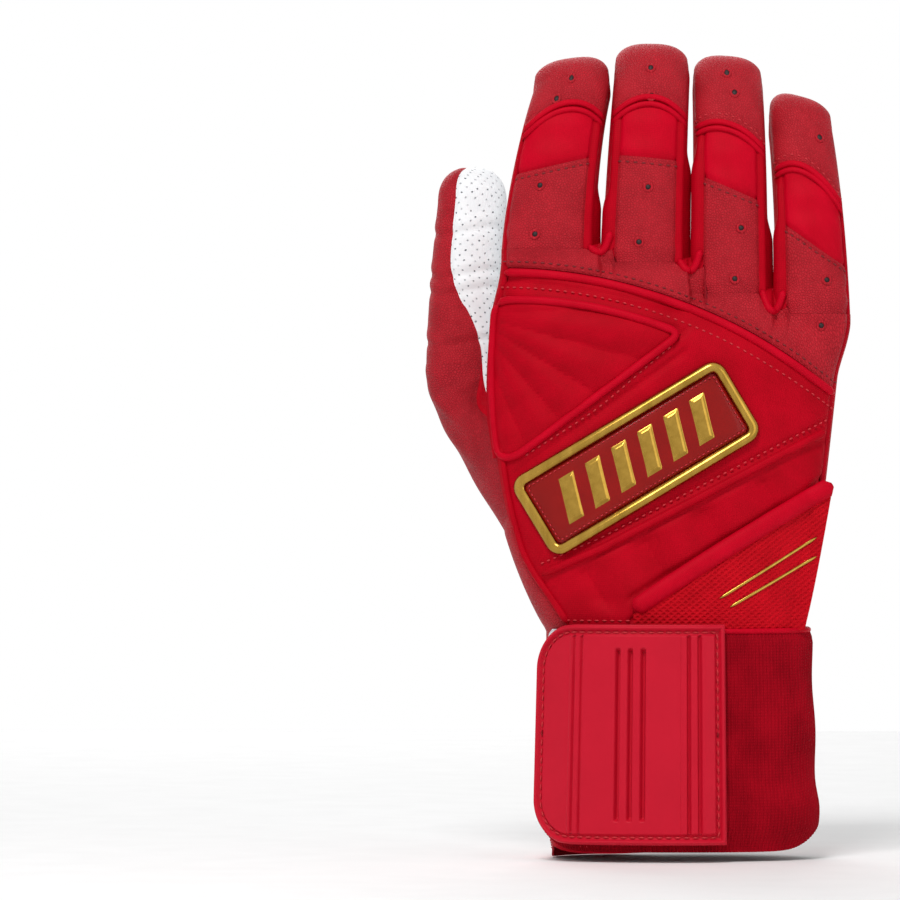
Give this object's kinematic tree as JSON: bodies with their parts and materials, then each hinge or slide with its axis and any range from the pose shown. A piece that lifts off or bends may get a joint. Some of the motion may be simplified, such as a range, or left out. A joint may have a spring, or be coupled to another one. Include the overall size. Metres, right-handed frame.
{
  "type": "batting glove",
  "caption": "Right-hand batting glove with perforated white palm, red back panels, moulded wrist tab and long knit cuff, fingers and thumb that bend and a closure that peels open.",
  "frame": {"origin": "centre of the cuff's mouth, where the hand goes in", "axes": "+Z along the fingers, +Y out of the palm, -Y out of the back of the hand, thumb at -X"},
  "size_m": [0.1239, 0.0603, 0.2402],
  "materials": {
    "white_leather": "white perforated goatskin",
    "red_leather": "grained red leather",
    "red_spandex": "matt stretch knit",
    "red_knit": "ribbed elastic knit",
    "red_rubber": "moulded satin rubber",
    "gold": "polished gold foil",
    "tape": "hook and loop tape"
  },
  "bodies": {
    "hand": {"palm_leather": "white_leather", "back_panel": "red_spandex", "knuckle_leather": "red_leather", "thumb_side_leather": "red_leather", "index_side_gusset": "red_spandex", "little_side_gusset": "red_spandex", "thumb_web_leather": "white_leather", "thumb_root_leather": "red_leather", "thumb_root_gusset": "red_spandex", "knuckle_pad": "red_spandex", "badge_frame": "gold", "badge_plate": "red_rubber", "power_strap": "red_rubber", "strap_piping": "red_rubber", "knuckle_welt": "red_spandex", "cuff_sleeve": "red_knit", "wrist_badge_frame": "gold", "wrist_badge_plate": "red_rubber", "cuff_flap": "red_leather", "loop_patch": "tape"},
    "closure": {"closure_tab": "red_rubber", "hook_patch": "tape"},
    "index_lower": {"index_palm_lower": "white_leather", "index_back_lower": "red_leather", "index_side_a_lower": "red_spandex", "index_side_b_lower": "red_spandex"},
    "index_upper": {"index_palm_upper": "white_leather", "index_knuckle_band": "red_spandex", "index_tip_cap": "red_leather", "index_side_a_upper": "red_spandex", "index_side_b_upper": "red_spandex"},
    "middle_lower": {"middle_palm_lower": "white_leather", "middle_back_lower": "red_leather", "middle_side_a_lower": "red_spandex", "middle_side_b_lower": "red_spandex"},
    "middle_upper": {"middle_palm_upper": "white_leather", "middle_knuckle_band": "red_spandex", "middle_tip_cap": "red_leather", "middle_side_a_upper": "red_spandex", "middle_side_b_upper": "red_spandex"},
    "ring_lower": {"ring_palm_lower": "white_leather", "ring_back_lower": "red_leather", "ring_side_a_lower": "red_spandex", "ring_side_b_lower": "red_spandex"},
    "ring_upper": {"ring_palm_upper": "white_leather", "ring_knuckle_band": "red_spandex", "ring_tip_cap": "red_leather", "ring_side_a_upper": "red_spandex", "ring_side_b_upper": "red_spandex"},
    "little_lower": {"little_palm_lower": "white_leather", "little_back_lower": "red_leather", "little_side_a_lower": "red_spandex", "little_side_b_lower": "red_spandex"},
    "little_upper": {"little_palm_upper": "white_leather", "little_knuckle_band": "red_spandex", "little_tip_cap": "red_leather", "little_side_a_upper": "red_spandex", "little_side_b_upper": "red_spandex"},
    "thumb": {"thumb_pad": "white_leather", "thumb_back": "red_leather"}
  },
  "joints": [
    {"name": "index_root_bend", "type": "hinge", "parent": "hand", "child": "index_lower", "pos_m": [-0.0371, 0.0099, 0.175], "axis": [-1, 0, 0], "range_deg": [0, 60], "stiffness_Nm_per_rad": 0.25},
    {"name": "index_knuckle_bend", "type": "hinge", "parent": "index_lower", "child": "index_upper", "pos_m": [-0.03476, 0.00941, 0.19849], "axis": [-1, 0, 0], "range_deg": [0, 65], "stiffness_Nm_per_rad": 0.15},
    {"name": "middle_root_bend", "type": "hinge", "parent": "hand", "child": "middle_lower", "pos_m": [-0.0093, 0.0099, 0.171], "axis": [-1, 0, 0], "range_deg": [0, 60], "stiffness_Nm_per_rad": 0.25},
    {"name": "middle_knuckle_bend", "type": "hinge", "parent": "middle_lower", "child": "middle_upper", "pos_m": [-0.00836, 0.00937, 0.20047], "axis": [-1, 0, 0], "range_deg": [0, 65], "stiffness_Nm_per_rad": 0.15},
    {"name": "ring_root_bend", "type": "hinge", "parent": "hand", "child": "ring_lower", "pos_m": [0.0159, 0.0099, 0.162], "axis": [-1, 0, 0], "range_deg": [0, 60], "stiffness_Nm_per_rad": 0.25},
    {"name": "ring_knuckle_bend", "type": "hinge", "parent": "ring_lower", "child": "ring_upper", "pos_m": [0.0158, 0.00942, 0.19149], "axis": [-1, 0, 0], "range_deg": [0, 65], "stiffness_Nm_per_rad": 0.15},
    {"name": "little_root_bend", "type": "hinge", "parent": "hand", "child": "little_lower", "pos_m": [0.0399, 0.0099, 0.156], "axis": [-1, 0, 0], "range_deg": [0, 60], "stiffness_Nm_per_rad": 0.25},
    {"name": "little_knuckle_bend", "type": "hinge", "parent": "little_lower", "child": "little_upper", "pos_m": [0.03931, 0.00955, 0.17559], "axis": [-1, 0, 0], "range_deg": [0, 65], "stiffness_Nm_per_rad": 0.15},
    {"name": "thumb_bend", "type": "hinge", "parent": "hand", "child": "thumb", "pos_m": [-0.0623, 0.0308, 0.142], "axis": [-1, 0, 0], "range_deg": [0, 35], "stiffness_Nm_per_rad": 0.25},
    {"name": "closure_peel", "type": "hinge", "parent": "hand", "child": "closure", "pos_m": [0.01768, -0.02713, 0.032], "axis": [0, 0, 1], "range_deg": [0, 150]}
  ]
}
